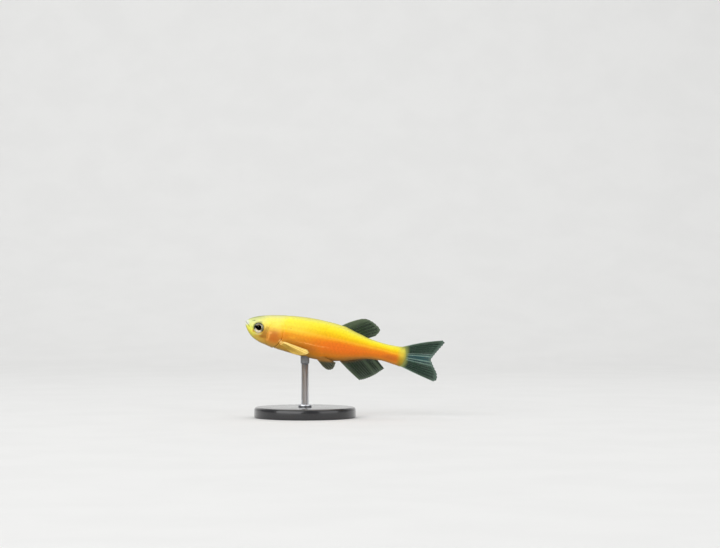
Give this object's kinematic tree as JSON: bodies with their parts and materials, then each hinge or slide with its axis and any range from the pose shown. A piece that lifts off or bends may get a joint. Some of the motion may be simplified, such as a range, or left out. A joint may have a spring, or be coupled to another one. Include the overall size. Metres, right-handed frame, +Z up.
{
  "type": "zebra danio",
  "caption": "Life-size zebra danio of the yellow-orange fluorescent form, gliding head up with spread fins, on a plain round display stand.",
  "frame": {"origin": "centre of the stand base's underside, on the surface that it stands on", "axes": "+Z up; the fish's head points towards -X and its tail towards +X, pitched head up by 12.2 degrees; the fish's left side faces -Y"},
  "size_m": [0.0413, 0.021, 0.0212],
  "materials": {
    "skin": "moist scaled skin, lemon yellow back over an orange flank",
    "gill_cover": "moist skin over bone, brownish orange with a pearly edge",
    "eye": "clear wet cornea over a silver iris and a black pupil",
    "fin_membrane": "see-through smoky green membrane between paler rays",
    "pectoral_membrane": "see-through straw yellow membrane between paler rays",
    "stand_base": "satin black acrylic",
    "stand_rod": "brushed stainless steel"
  },
  "bodies": {
    "root": {"head": "skin", "lower_jaw": "skin", "trunk": "skin", "tail_stalk": "skin", "gill_cover_left": "gill_cover", "gill_cover_right": "gill_cover", "eye_left": "eye", "eye_right": "eye", "fin_dorsal": "fin_membrane", "fin_anal": "fin_membrane", "fin_tail_upper": "fin_membrane", "fin_tail_lower": "fin_membrane", "fin_pelvic_left": "fin_membrane", "fin_pelvic_right": "fin_membrane", "fin_pectoral_left": "pectoral_membrane", "fin_pectoral_right": "pectoral_membrane", "stand_base": "stand_base", "stand_rod": "stand_rod"}
  },
  "joints": []
}
